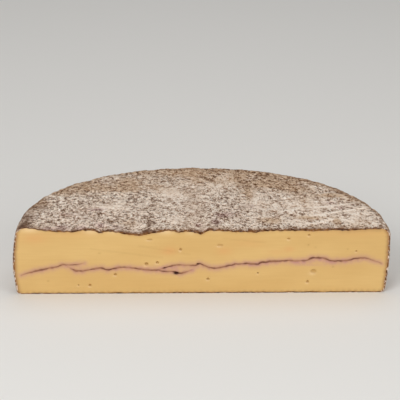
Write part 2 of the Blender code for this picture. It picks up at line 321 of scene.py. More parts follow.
# Dark brown in the mould's lowest pits, partly painted shade in the hollows
MOULD_PIT_AND_SHADE = (86, 57, 36)
SIDE_PIT_AND_SHADE = (122, 88, 60)
# Dark patches of mould, and the painted shade at the rim
DARK_MOULD_AND_RIM_SHADE = (88, 64, 52)
FRINGE = (112, 72, 48)
EDGE = ((76, 42, 20), (136, 90, 48))
CRUMBS = (234, 215, 198)
PASTE_TONES = ((217, 177, 111), (223, 185, 119))
STREAK = (206, 162, 96)
# Near black, painted as shade in the vein's hollows
CAVITY_SHADE = (64, 26, 14)
VEIN_TONES = ((122, 80, 58), (172, 124, 92))
# What tints the paste and the vein: the mark on the mesh, its strength and its colour. The light tint is
# painted highlight, and the pit tint adds painted shade in the eyes to freckles and scores. The browning at
# the rim is partly painted shade, and the near-black in the hollows is painted shade.
PASTE_TINTS = (
    ("blotch", 0.5, (224, 160, 100)), ("rim", 1, (150, 100, 62)), ("light", 0.65, (242, 210, 160)),
    ("stain", 0.75, (198, 147, 131)), ("near_vein", 0.5, (158, 110, 84)), ("pit", 0.6, (156, 108, 30)),
    ("cavity_shade", 1, CAVITY_SHADE),
)
VEIN_TINTS = (("strong", 0.6, (92, 48, 42)), ("faint", 0.9, (200, 152, 116)), ("cavity_shade", 1, CAVITY_SHADE))

# The UV map named OFBake: the room round each part, and size and corner of the hidden parts
UV_MARGIN = 2 * MM
CORE_IN_RIND = (0.04, (0.03, 0.95))
CORE_IN_PASTE = (0.08, (0.15, 0.85))
SLOT_IN_PASTE = (0.15, (0.6, 0.82))

# The stage, and its lights: name, place, aim, side and watts
FLOOR_CORNERS = ((-8, -8, 0), (8, -8, 0), (8, 8, 0), (-8, 8, 0))
FLOOR_COLOUR = (234, 232, 228)
WORLD_STRENGTH = 0.31
LIGHTS = (
    ("key", (-0.9, -1.5, 1.2), (0, 0, 0.03), 1.2, 22), ("fill", (1.2, -1.2, 0.8), (0, 0, 0.03), 1.2, 9),
    ("top", (0.1, 0.6, 1.8), (0, 0.05, 0.03), 1.4, 8),
)

# The photograph's camera, fitted to its outline: it aims at a point above the cut face
CAMERA_DISTANCE = 1.885
CAMERA_ELEVATION = math.radians(20.33)
CAMERA_YAW = math.radians(-2.5)
CAMERA_ROLL = math.radians(0.67)
CAMERA_AIM = Vector((-2.5 * MM, 0, 95.2 * MM))
CAMERA_LENS = 180
CAMERA_SENSOR = 36


def smooth_step(value, start=0, length=1):
    """0 up to the start and 1 beyond the length, with a smooth rise."""
    t = np.clip((value - start) / length, 0, 1)
    return t * t * (3 - 2 * t)


def lumps(points, size):
    """Smooth noise from about -1 to 1 at each point."""
    return np.array([noise.noise(Vector(point)) for point in np.asarray(points) / size])


def spots(points, places):
    """The sum of soft spots at each point's first two coordinates."""
    total = np.zeros(len(points))
    for across, along, half_across, half_along, strength in places:
        reach = ((points[:, 0] / MM - across) / half_across) ** 2
        reach += ((points[:, 1] / MM - along) / half_along) ** 2
        total += strength * np.exp(-reach)
    return total


def beside_lines(points, lines, half):
    """1 on some lines and 0 away from them, at each point's first two coordinates."""
    found = np.zeros(len(points))
    where = points[:, :2] / MM
    for line in lines:
        for start, end in zip(np.array(line, float), np.array(line[1:], float)):
            along = np.clip((where - start) @ (end - start) / np.sum((end - start) ** 2), 0, 1)
            away = np.linalg.norm(where - start - along[:, None] * (end - start), axis=1)
            found = np.maximum(found, np.exp(-((away / half) ** 2)))
    return found


def top_height(x, y):
    """Height of the wheel's top without its crags."""
    rim_share = (x * x + y * y) / WHEEL_RADIUS**2
    height = WHEEL_HEIGHT - HIGHER_LEFT * x / WHEEL_RADIUS - MIDDLE_SAG * (1 - rim_share)
    height = height + RIM_WAVE * np.sin(WAVES_A_TURN * np.arctan2(y, x)) * rim_share
    for across, behind, wide, deep, sunk in DENTS:
        reach = ((x / MM - across) / wide) ** 2 + ((y / MM - behind) / deep) ** 2
        height = height - sunk * MM * np.exp(-reach)
    return height


def side_radius(angle, height):
    """The bulging side's distance from the wheel's axis."""
    widest = WIDEST_MEAN + WIDEST_SWING * np.cos(angle)
    uneven = OUT_OF_ROUND * np.sin(WAVES_A_TURN * angle) + EGG_SHAPE * np.sin(2 * angle)
    return WHEEL_RADIUS + uneven - FOOT_LEAN * ((height - widest) / widest) ** 2


def smooth_skin(steps):
    """The smooth skin, angle by station: its points, its normals and each station's way from the top.

    The stations run from the middle of the base over foot, side and shoulder to the middle of the top.
    """
    angle = np.linspace(0, math.pi, steps + 1)[:, None]
    cosine, sine = np.cos(angle), np.sin(angle)
    sine[[0, -1]] = 0
    inset = WHEEL_RADIUS - SHOULDER_RADIUS
    foot = side_radius(angle, FOOT_RADIUS) - FOOT_RADIUS
    brow = top_height(inset * cosine, inset * sine) - SHOULDER_RADIUS
    rim = side_radius(angle, brow) - SHOULDER_RADIUS

    def shares(length, pitch, last=0):
        count = round(length / pitch)
        return np.arange(count + last)[None, :] / count

    base = shares(inset, BASE_PITCH)
    turn = np.radians(90 * shares(FOOT_RADIUS * math.pi / 2, SKIN_PITCH))
    rise = shares(WHEEL_HEIGHT - FOOT_RADIUS - SHOULDER_RADIUS, SKIN_PITCH)
    bend = np.radians(90 * shares(SHOULDER_RADIUS * math.pi / 2, SKIN_PITCH))
    bend_out, bend_up = np.cos(bend), np.sin(bend)
    inward = 1 - shares(inset, SKIN_PITCH, last=1)
    side_height = FOOT_RADIUS + (brow - FOOT_RADIUS) * rise
    top_radius = rim * inward
    zones = (
        (foot * base, 0, 0, -1),
        (foot + FOOT_RADIUS * np.sin(turn), FOOT_RADIUS * (1 - np.cos(turn)), np.sin(turn), -np.cos(turn)),
        (side_radius(angle, side_height), side_height, 1, 0),
        (rim + SHOULDER_RADIUS * bend_out, brow + SHOULDER_RADIUS * bend_up, bend_out, bend_up),
        (top_radius, top_height(top_radius * cosine, top_radius * sine), 0, 1),
    )
    columns = [[np.broadcast_to(part, zone[0].shape) for part in zone] for zone in zones]
    radius, height, out, up = (np.concatenate([zone[k] for zone in columns], axis=1) for k in range(4))
    points = np.stack([radius * cosine, radius * sine, height], axis=-1)
    normals = np.stack([out * cosine, out * sine, up], axis=-1)
    steps_along = np.linalg.norm(np.diff(points, axis=1), axis=-1)[steps // 2]
    run = np.append(np.cumsum(steps_along[::-1])[::-1], 0)
    return points, normals, run


def ring_strides(points, most):
    """How many angle steps each station skips, so that no face is a sliver."""
    base_count = int(np.sum(points[0, :, 2] == 0))
    strides = []
    for index, distance in enumerate(points[0, :, 0]):
        halvings = sum(distance < WHEEL_RADIUS * share for share in HALVED_BELOW)
        if index < base_count:
            halvings += min(base_count - 1 - index, BASE_HALVINGS)
        strides.append(2 ** min(halvings, most))
    return strides


def ring_mesh(steps, strides):
    """A grid of rings round the axis: its vertices as (column, station), its faces and its border at the cut.

    The first and last station are single points. The border runs up the right side and down the left.
    """
    kept, rings = [], []
    for station, stride in enumerate(strides):
        single = station in (0, len(strides) - 1)
        columns = [0] if single else range(0, steps + 1, stride)
        rings.append(list(range(len(kept), len(kept) + len(columns))))
        kept += [(column, station) for column in columns]
    faces, stations = [], []
    for station, (one, other) in enumerate(zip(rings, rings[1:])):
        fine, coarse = (one, other) if len(one) > len(other) else (other, one)
        before = len(faces)
        if len(coarse) == 1:
            faces += [(a, b, coarse[0]) for a, b in zip(fine, fine[1:])]
        elif len(one) == len(other):
            faces += list(zip(one, one[1:], other[1:], other))
        else:
            for index in range(len(coarse) - 1):
                first, middle, last = fine[2 * index : 2 * index + 3]
                near, far = coarse[index : index + 2]
                faces += [(first, middle, near), (middle, far, near), (middle, last, far)]
        stations += [station] * (len(faces) - before)
    border = [ring[0] for ring in rings] + [ring[-1] for ring in rings[-2:0:-1]]
    return np.array(kept), faces, np.array(stations), border


def mould_marks(rest):
    """How strongly each kind of patch shows at each point of the smooth skin, with painted shade at the rim
    and partly further back.
    """
    from_cut = rest[:, 1] / WHEEL_RADIUS
    from_rim = 1 - np.hypot(rest[:, 0], rest[:, 1]) / WHEEL_RADIUS
    on_top = smooth_step(rest[:, 2] / WHEEL_HEIGHT, *ON_TOP)
    # Painted shade in brown and dark along the rim's band, which widens further back; the brown further back
    # is partly painted shade
    rim_shade = 1 - smooth_step(from_rim / (RIM_SHADE_BAND + RIM_SHADE_BAND_BEHIND * np.maximum(from_cut, 0)))
    crust_and_shade = CRUST_AND_SHADE_BEHIND * smooth_step(from_cut, *BEHIND) + BROWN_SHADE_AT_RIM * rim_shade
    crust_and_shade += CRUST_AT_CUT * np.exp(-((rest[:, 1] / CRUST_AT_CUT_DEPTH) ** 2)) + spots(rest, BROWN_PATCHES)
    broken = smooth_step(RIDGE_WHOLE + lumps(rest, RIDGE_BROKEN_SIZE))
    ridges = RIDGE_STRENGTH * broken * beside_lines(rest, RIDGES, RIDGE_HALF)
    return {
        "crust_and_shade": CRUST_ON_SIDE * (1 - on_top) + on_top * crust_and_shade,
        "mauve": on_top * spots(rest, MAUVE_PATCHES),
        "pale": on_top * (spots(rest, PALE_PATCHES) + ridges),
        "fringe": on_top * np.exp(-((rest[:, 1] / FRINGE_DEPTH) ** 2)),
        "dark": on_top * spots(rest, DARK_PATCHES) + DARK_SHADE_AT_RIM * rim_shade,
        "side": 1 - on_top,
    }


def raised_by_crags(points, normals):
    """The smooth skin with its crags, which stay in the cut's plane at the cut."""
    height = CRAG_HEIGHT * (lumps(points, CRAG_SIZE) + FINE_CRAG_SHARE * lumps(points, FINE_CRAG_SIZE))
    height *= smooth_step(points[:, 2] / CRAG_FADE_ABOVE_FOOT)
    out = np.hypot(normals[:, 0], normals[:, 1])
    height *= 1 - out * (1 - smooth_step(points[:, 1] / CRAG_FADE_BEHIND_CUT))
    return points + height[:, None] * normals


def rind_thickness(points, normals):
    """The rind's thickness under each point of the skin."""
    up = normals[:, 2]
    level = RIND_TOP * np.maximum(up, 0) ** 2 + RIND_BASE * np.maximum(-up, 0) ** 2 + RIND_SIDE * (1 - up**2)
    level = level * (1 + RIND_UNEVEN * lumps(points, RIND_UNEVEN_SIZE))
    level += RIND_RAGGED * lumps(points, RIND_RAGGED_SIZE)
    for across, wide, extra in RIND_THICKER:
        level += extra * MM * np.maximum(up, 0) * np.exp(-(((points[:, 0] / MM - across) / wide) ** 2))
    return level + RIND_DEEPER_INSIDE * smooth_step(points[:, 1] / CRAG_FADE_BEHIND_CUT)


class Skin:
    """One skin of the wheel: its points, its faces, its border at the cut and its places in the UV map."""

    def __init__(self, steps, most_halvings):
        points, normals, run = smooth_skin(steps)
        kept, self.faces, self.stations, self.border = ring_mesh(steps, ring_strides(points, most_halvings))
        column, station = kept.T
        self.rest = points[column, station]
        self.normals = normals[column, station]
        self.points = raised_by_crags(self.rest, self.normals)
        self.base_stations = int(np.sum(points[0, :, 2] == 0)) - 1
        angle = math.pi * column / steps
        self.unrolled = run[station][:, None] * np.stack([np.cos(angle), np.sin(angle)], axis=1)
        self.reach = run[self.base_stations]


def srgb(red, green, blue):
    """A screen's colour, from 0 to 255, as the shader's linear colour."""
    linear = [((value / 255 + 0.055) / 1.055) ** 2.4 for value in (red, green, blue)]
    return (*linear, 1)


VECTOR = "FLOAT_VECTOR"


class Nodes:
    """Adds nodes to a shader or geometry tree, with sockets or plain values put into them."""

    def __init__(self, tree):
        self.tree = tree

    def add(self, kind, values=None, output=0, **settings):
        """Adds a node and gives one of its outputs."""
        node = self.tree.nodes.new(kind)
        for key, value in settings.items():
            setattr(node, key, value)
        for key, value in (values or {}).items():
            self.put(value, node.inputs[key])
        return node.outputs[output] if node.outputs else node

    def put(self, value, socket):
        """Links a socket or sets a plain value."""
        if isinstance(value, bpy.types.NodeSocket):
            self.tree.links.new(value, socket)
        else:
            socket.default_value = value

    def math(self, operation, first, second=0.0):
        """A Math node."""
        return self.add("ShaderNodeMath", {0: first, 1: second}, operation=operation)

    def times(self, first, second):
        """A product."""
        return self.math("MULTIPLY", first, second)

    def scaled(self, vector, scales):
        """A vector times another."""
        return self.add("ShaderNodeVectorMath", {0: vector, 1: scales}, operation="MULTIPLY")

    def ramp(self, value, low, high, start=0.0, end=1.0):
        """Goes smoothly from start to end as value goes from low to high."""
        inputs = {0: value, 1: low, 2: high, 3: start, 4: end}
        return self.add("ShaderNodeMapRange", inputs, interpolation_type="SMOOTHSTEP")

    def noise(self, where, scale, detail=2.0, roughness=0.5, distortion=0.0):
        """A Noise Texture's value."""
        inputs = {"Vector": where, "Scale": scale, "Detail": detail, "Roughness": roughness}
        return self.add("ShaderNodeTexNoise", {**inputs, "Distortion": distortion})

    def mix(self, share, one, other):
        """A colour between two others, each of them a socket or a screen's colour."""
        one, other = (srgb(*colour) if isinstance(colour, tuple) else colour for colour in (one, other))
        return self.add("ShaderNodeMix", {0: share, 6: one, 7: other}, output=2, data_type="RGBA")

    def bump(self, height, distance, strength):
        """A Bump node."""
        return self.add("ShaderNodeBump", {"Height": height, "Distance": distance, "Strength": strength})

    def tinted(self, colour, mark, strength, tint):
        """A colour drawn toward a tint as far as a mark on the mesh says."""
        return self.mix(self.times(self.number(mark), strength), colour, tint)

    def mix_number(self, share, one, other):
        """A number between two others."""
        return self.add("ShaderNodeMix", {0: share, 2: one, 3: other}, data_type="FLOAT")

    def number(self, name, kind="FLOAT"):
        """A number, or a vector, that the mesh holds for each vertex."""
        if self.tree.type == "GEOMETRY":
            return self.add("GeometryNodeInputNamedAttribute", {"Name": name}, data_type=kind)
        return self.add("ShaderNodeAttribute", attribute_name=name, output=1 if kind == VECTOR else 2)


def level_lines(nodes, where, scale, width):
    """Wandering lines, 1 along their middle: where a noise passes through its mean."""
    away = nodes.math("ABSOLUTE", nodes.math("SUBTRACT", nodes.noise(where, scale, 2, 0.5, 1.2), 0.5))
    return nodes.ramp(away, 0.0, width, 1.0, 0.0)


def strands_of_mould(nodes, where, turn, drawn_out):
    """Felt and threads along one direction of the top, from 0 in the pits to 1 on the threads."""
    turned = nodes.add("ShaderNodeVectorRotate", {"Vector": where, "Angle": turn}, rotation_type="Z_AXIS")
    turned = nodes.scaled(turned, (1 / drawn_out, 1, 1))
    felt = nodes.ramp(nodes.noise(turned, *FELT), 0.35, 0.64, 0.0, 0.7)
    threads = nodes.math("MAXIMUM", *(level_lines(nodes, turned, *lines) for lines in THREADS))
    height = nodes.math("MAXIMUM", felt, nodes.times(threads, nodes.ramp(felt, 0.0, 0.3, 0.6, 1.0)))
    here = nodes.ramp(nodes.noise(where, GAP_PLACES), 0.48, 0.58)
    gaps = nodes.times(level_lines(nodes, turned, *GAPS), here)
    return nodes.times(height, nodes.math("SUBTRACT", 1.0, gaps))


def mould_height(nodes, where):
    """The mould's height from 0 to 1, in a shader and in Geometry Nodes alike."""
    across = nodes.add("ShaderNodeSeparateXYZ", {"Vector": where})
    share = nodes.ramp(across, *STRANDS_TURN_BETWEEN)
    left, right = (strands_of_mould(nodes, where, *way) for way in (STRANDS_LEFT, STRANDS_RIGHT))
    height = nodes.mix_number(share, left, right)
    bloom = nodes.ramp(nodes.noise(where, *BLOOM), 0.46, 0.6, 0.0, 0.6)
    bare = nodes.ramp(nodes.noise(where, *BARE), 0.48, 0.6, 0.0, 0.55)
    pulls = (("pale", 0.55, 0.9), ("side", bloom, 0.85), ("side", bare, 0.2), ("dark", 0.6, 0.0))
    for mark, strength, level in pulls:
        height = nodes.mix_number(nodes.times(nodes.number(mark), strength), height, level)
    return height


def raised_by_mould(skin):
    """The skin's points pushed out and in by the mould's height, which Geometry Nodes works out."""
    mesh = bpy.data.meshes.new("mould_relief")
    mesh.from_pydata([tuple(point) for point in skin.points], [], [])
    fade = smooth_step(skin.rest[:, 2] / MOULD_FADE_ABOVE_FLOOR)
    push = skin.normals * (MOULD_RELIEF * fade)[:, None]
    set_attributes(mesh, {"rest": skin.rest, "push": push, **mould_marks(skin.rest)})
    made = new_object("mould_relief", mesh)
    tree = bpy.data.node_groups.new("mould_relief", "GeometryNodeTree")
    for way in ("INPUT", "OUTPUT"):
        tree.interface.new_socket("Geometry", in_out=way, socket_type="NodeSocketGeometry")
    nodes = Nodes(tree)
    lift = nodes.math("SUBTRACT", mould_height(nodes, nodes.number("rest", VECTOR)), MOULD_LEVEL)
    away = nodes.number("push", VECTOR)
    offset = nodes.add("ShaderNodeVectorMath", {0: away, "Scale": lift}, operation="SCALE")
    moved = nodes.add("GeometryNodeSetPosition", {"Geometry": nodes.add("NodeGroupInput"), "Offset": offset})
    nodes.add("NodeGroupOutput", {0: moved})
    made.modifiers.new("mould_relief", "NODES").node_group = tree
    evaluated = made.evaluated_get(bpy.context.evaluated_depsgraph_get())
    points = np.array([tuple(vertex.co) for vertex in evaluated.data.vertices])
    bpy.data.objects.remove(made)
    return points


def along_curve(knots, step):
    """Points a step apart on a Catmull-Rom curve through knots in millimetres."""
    points = np.array(knots) * MM
    ends = np.vstack([2 * points[0] - points[1], points, 2 * points[-1] - points[-2]])
    made = []
    for a, b, c, d in zip(ends, ends[1:], ends[2:], ends[3:]):
        count = max(1, round(np.hypot(*(c - b)) / step))
        t = (np.arange(count) / count)[:, None]
        curve = 2 * b + (c - a) * t + (2 * a - 5 * b + 4 * c - d) * t**2 + (3 * b - a - 3 * c + d) * t**3
        made.append(0.5 * curve)
    return np.vstack([*made, points[-1:]])


def upright(points, depth=0.0):
    """Points of the cut's plane in space, each at its depth behind it."""
    return np.insert(points, 1, depth, axis=1)


class Strand:
    """One strand of the vein at the cut: its middle line and half its thickness along it."""

    def __init__(self, knots):
        line = along_curve(knots, LAYER_STEP)
        ahead = np.gradient(line, axis=0)
        ahead /= np.linalg.norm(ahead, axis=1)[:, None]
        self.aside = np.stack([-ahead[:, 1], ahead[:, 0]], axis=1)
        there = upright(line)
        self.line = line + self.aside * (LAYER_WOBBLE * lumps(there, LAYER_UNEVEN_SIZE))[:, None]
        steps_to_end = np.minimum(np.arange(len(line)), np.arange(len(line))[::-1])
        grown = smooth_step(steps_to_end * LAYER_STEP / LAYER_TAPER)
        thickness = LAYER_THICKNESS * (1 + LAYER_UNEVEN * lumps(there + 1, LAYER_UNEVEN_SIZE))
        self.half = (LAYER_TIP + (thickness - LAYER_TIP) * grown) / 2
        faint = np.minimum(spots(self.line, FAINT_PLACES), 1)
        self.half *= (1 + STRONG_MORE * spots(self.line, STRONG_PLACES)) * (1 - FAINT_LESS * faint)

    def beside(self, distance):
        """Points at a distance from the strand's two edges."""
        offset = self.aside * (self.half + distance)[:, None]
        return self.line + offset, self.line - offset

    def outline(self):
        """The strand's own outline."""
        upper, lower = self.beside(0)
        return np.vstack([lower, upper[::-1]])


class Spread:
    """Points in the cut face that keep their distance from older ones."""

    def __init__(self):
        self.taken = {}
        self.points = []

    def near(self, x, z, apart):
        """Whether a point lies nearer than that."""
        column, row = int(x // FACE_PITCH), int(z // FACE_PITCH)
        cells = ((column + i, row + j) for i in (-1, 0, 1) for j in (-1, 0, 1))
        older = (point for cell in cells for point in self.taken.get(cell, ()))
        return any((other_x - x) ** 2 + (other_z - z) ** 2 < apart**2 for other_x, other_z in older)

    def add(self, points, apart=0.0):
        """Adds points, but none too near an older one, and gives the first one's index."""
        first = len(self.points)
        for x, z in points:
            if apart and self.near(x, z, apart):
                continue
            self.taken.setdefault((int(x // FACE_PITCH), int(z // FACE_PITCH)), []).append((x, z))
            self.points.append((x, z))
        return first


def distances(points, targets):
    """The distance from each point to the nearest target in the cut's plane."""
    tree = KDTree(len(targets))
    for index, (x, z) in enumerate(targets):
        tree.insert((x, z, 0), index)
    tree.balance()
    return np.array([tree.find((x, z, 0))[2] for x, z in points])


OUTSIDE, BAND, PASTE, VEIN = -1, 0, 1, 2


class CutFace:
    """The cut's plane as triangles, each in the rind's band, the paste or the vein."""

    def __init__(self, outer, core, strands):
        spread = Spread()
        loops = [outer, core, *[strand.outline() for strand in strands]]
        polygons = []
        for loop in loops:
            first = spread.add(loop)
            polygons.append(list(range(first, first + len(loop))))
        turn = np.arange(PIT_SPOKES) * 2 * math.pi / PIT_SPOKES
        for across, up, wide, high, _ in PITS:
            for share in PIT_RINGS:
                ring = [across + wide * share * np.cos(turn), up + high * share * np.sin(turn)]
                spread.add(np.stack(ring, axis=1) * MM, PIT_APART)
        for distance in VEIN_ROWS:
            for strand in strands:
                for row in strand.beside(distance):
                    spread.add(row, VEIN_ROW_APART)
        draw = random.Random(FACE_SEED)
        for row in range(int(WHEEL_HEIGHT / FACE_PITCH) + 2):
            for column in range(-int(WHEEL_RADIUS / FACE_PITCH), int(WHEEL_RADIUS / FACE_PITCH) + 1):
                x = (column + row % 2 / 2 + draw.uniform(-FACE_JITTER, FACE_JITTER)) * FACE_PITCH
                z = (row + draw.uniform(-FACE_JITTER, FACE_JITTER)) * FACE_PITCH
                spread.add([(x, z)], FACE_APART * FACE_PITCH)
        flat = [Vector(point) for point in spread.points]
        made, _, triangles, origin, _, inside = delaunay_2d_cdt(flat, [], polygons, 1, 1e-6, True)
        self.points = np.array([tuple(point) for point in made])
        self.triangles = np.array(triangles)
        ranks = [max(found, default=OUTSIDE) for found in inside]
        self.part = np.minimum(ranks, VEIN)
        self.outer, self.core = {}, {}
        for index, sources in enumerate(origin):
            for source in sources:
                if source < len(outer):
                    self.outer[index] = source
                elif source < len(outer) + len(core):
                    self.core[index] = source - len(outer)
        self.to_core = distances(self.points, core)
        self.to_vein = distances(self.points, np.vstack(loops[2:]))
        self.to_outer = distances(self.points, outer)
        self.front = upright(self.points, self.depth())
        reach = np.sqrt(np.maximum(LAYER_REACH**2 - self.points[:, 0] ** 2, 0))
        self.back = upright(self.points, reach)

    def used(self, part):
        """The triangles of one part."""
        return self.triangles[self.part == part]

    def depth(self):
        """How far behind the cut's plane each point lies."""
        x, z = self.points.T / MM
        waves = lumps(upright(self.points), FACE_WAVE_SIZE)
        depth = FACE_WAVE * waves * smooth_step(self.to_outer / FACE_WAVE_FADE)
        depth += RIND_GROOVE * np.exp(-((self.to_core / RIND_GROOVE_WIDTH) ** 2))
        depth += VEIN_LIP * np.exp(-((self.to_vein / VEIN_LIP_WIDTH) ** 2))
        for across, up, wide, high, deep in PITS:
            inside = 1 - ((x - across) / wide) ** 2 - ((z - up) / high) ** 2
            depth += deep * MM * np.sqrt(np.maximum(inside, 0))
        depth[list(self.outer)] = 0
        return depth

    def stains(self):
        """How strongly each kind of stain shows at each point, painted highlights and painted shade among
        them.
        """
        x, z = self.points.T / MM
        faint = np.minimum(spots(self.points, FAINT_PLACES), 1)
        along = np.exp(-((self.to_vein / STAIN_REACH) ** 2))
        # Painted highlight where the paste bulges at the top edge
        light = spots(self.points, EDGE_LIGHTS)
        scores = beside_lines(self.points, SCORES, SCORE_HALF)
        pit = spots(self.points, FRECKLES) + SCORE_STRENGTH * scores
        # Painted shade inside the eyes, nicks and hollows, less in wide ones, and a painted highlight at each
        # one's lower left rim
        for across, up, wide, high, _ in PITS:
            inside = 1 - ((x - across) / wide / PIT_SPREAD) ** 2 - ((z - up) / high / PIT_SPREAD) ** 2
            pit += np.clip(inside * PIT_SHARPNESS, 0, 1) * min(1, EYE_SHADE_TO / wide)
            lower_left = (across - wide / 2, up - high, wide, high * EYE_LIT_FLATTER, EYE_LIT)
            light += spots(self.points, (lower_left,))
        # Deeper browning toward the sides, the foot and the right end, partly painted shade
        elsewhere = np.maximum(1 - smooth_step(z, *AT_FOOT), smooth_step(x, *AT_RIGHT))
        browned_and_shaded = np.maximum(BROWN_AND_SHADE_AT_SIDES * smooth_step(np.abs(x), *AT_SIDES), BROWN_AND_SHADE_ELSEWHERE * elsewhere)
        browned_and_shaded *= np.exp(-((self.to_core / RIM_DEPTH) ** 2))
        return {
            "near_vein": np.exp(-((self.to_vein / NEAR_VEIN) ** 2)) * (1 - FAINT_LESS * faint),
            "stain": STAIN_SPOTS * spots(self.points, STAINS) + STAIN_ALONG * along,
            "blotch": spots(self.points, BLOTCHES),
            "pit": pit,
            "light": light,
            "rim": np.maximum(RIM_LINE * np.exp(-self.to_core / RIM_LINE_DEPTH), browned_and_shaded),
            "cavity_shade": spots(self.points, SHADED_CAVITIES),
        }


def border_edges(triangles):
    """The edges that only one of the triangles has."""
    seen = {}
    for a, b, c in triangles.tolist():
        for edge in ((a, b), (b, c), (c, a)):
            key = tuple(sorted(edge))
            seen[key] = None if key in seen else edge
    return [edge for edge in seen.values() if edge]


def new_object(name, data):
    """An object in the scene."""
    made = bpy.data.objects.new(name, data)
    bpy.context.scene.collection.objects.link(made)
    return made


def set_attributes(mesh, marks):
    """Stores named numbers or vectors for each vertex."""
    for name, values in marks.items():
        values = np.asarray(values, np.float32)
        kind, field = ("FLOAT", "value") if values.ndim == 1 else (VECTOR, "vector")
        mesh.attributes.new(name, kind, "POINT").data.foreach_set(field, values.ravel())


class Piece:
    """Vertices and groups of faces that become an object."""

    def __init__(self, name):
        self.name = name
        self.vertices = []
        self.faces = []
        self.groups = []

    def add_vertices(self, points):
        """Adds points and gives the first one's index."""
        first = len(self.vertices)
        self.vertices += [tuple(point) for point in points]
        return first

    def add_chosen(self, points, chosen):
        """Adds the chosen points and gives each point's index, or -1 for one not chosen."""
        places = np.full(len(points), -1)
        places[chosen] = self.add_vertices(points[chosen]) + np.arange(len(chosen))
        return places

    def add_faces(self, faces, groups):
        """Adds faces, with one group for all or one for each."""
        self.faces += [tuple(map(int, face)) for face in faces]
        self.groups += np.broadcast_to(groups, len(faces)).tolist()

    def add_wall(self, near, far, triangles):
        """Adds the slot's wall, from the border of some triangles to the same border behind."""
        self.add_faces([(near[a], near[b], far[b], far[a]) for a, b in border_edges(triangles)], SLOT)

    def make(self, soft_pairs=()):
        """The object, with sharp edges between its groups but for the soft pairs."""
        mesh = bpy.data.meshes.new(self.name)
        mesh.from_pydata(self.vertices, [], self.faces)
        bm = bmesh.new()
        bm.from_mesh(mesh)
        bmesh.ops.recalc_face_normals(bm, faces=bm.faces)
        for edge in bm.edges:
            found = {self.groups[face.index] for face in edge.link_faces}
            edge.smooth = len(found) == 1 or found in soft_pairs
        for face in bm.faces:
            face.smooth = True
        bm.to_mesh(mesh)
        bm.free()
        return new_object(self.name, mesh)

    def lay_out(self, made, places):
        """Writes the UV map named OFBake, from each group's place for every vertex."""
        corners = np.array([corner.vertex_index for corner in made.data.loops])
        group = np.repeat(self.groups, [len(face) for face in self.faces])
        uv = np.zeros((len(corners), 2), np.float32)
        for number, place in places.items():
            uv[group == number] = place[corners[group == number]]
        made.data.uv_layers.new(name="OFBake").data.foreach_set("uv", uv.ravel())


# Groups of faces in the rind and in the paste
TOP, BASE, CORE, CUT = 0, 1, 2, 3
LEFT, RIGHT, SLOT = 4, 5, 6


def shrunk(points, wide, size, corner):
    """The places in the UV map of a part that doesn't show."""
    return points * (size / wide) + corner


def make_rind(outer, core, face):
    """The rind: a shell with its mould-grown skin and its cut band."""
    piece = Piece("rind")
    piece.add_vertices(outer.raised)
    first_core = piece.add_vertices(core.points)
    first_inner = len(piece.vertices)
    band = face.used(BAND)
    inner = [index for index in np.unique(band) if index not in face.outer and index not in face.core]
    places = piece.add_chosen(face.front, inner)
    for index, source in face.outer.items():
        places[index] = outer.border[source]
    for index, source in face.core.items():
        places[index] = first_core + core.border[source]
    piece.add_faces(outer.faces, np.where(outer.stations < outer.base_stations, BASE, TOP))
    piece.add_faces([[first_core + v for v in f] for f in core.faces], CORE)
    piece.add_faces(places[band], CUT)
    made = piece.make(soft_pairs=({TOP, BASE},))

    flat = np.array(piece.vertices)
    rest = flat.copy()
    rest[: len(outer.rest)] = outer.rest
    inward = np.zeros(len(rest))
    inward[first_core:first_inner] = 1
    share = face.to_outer / np.maximum(face.to_outer + face.to_core, 0.01 * MM)
    inward[first_inner:] = share[inner]
    crumbs = CRUMBS_ABOVE + (1 - CRUMBS_ABOVE) * smooth_step(np.abs(rest[:, 0]) / MM, *AT_CRUMBS)
    set_attributes(made.data, {"rest": rest, "inward": inward, "crumbs": crumbs, **mould_marks(rest)})

    half = outer.reach + UV_MARGIN
    wide = 2 * half
    unrolled = np.zeros((len(rest), 2))
    unrolled[: len(outer.rest)] = outer.unrolled
    unrolled[first_core:first_inner] = core.unrolled
    piece.lay_out(made, {
        TOP: (unrolled + half) / wide,
        BASE: (flat[:, :2] * (1, -1) + outer.reach) / wide,
        CUT: (flat[:, [0, 2]] + (outer.reach, UV_MARGIN / 2)) / wide,
        CORE: shrunk(unrolled, wide, *CORE_IN_RIND),
    })
    return made


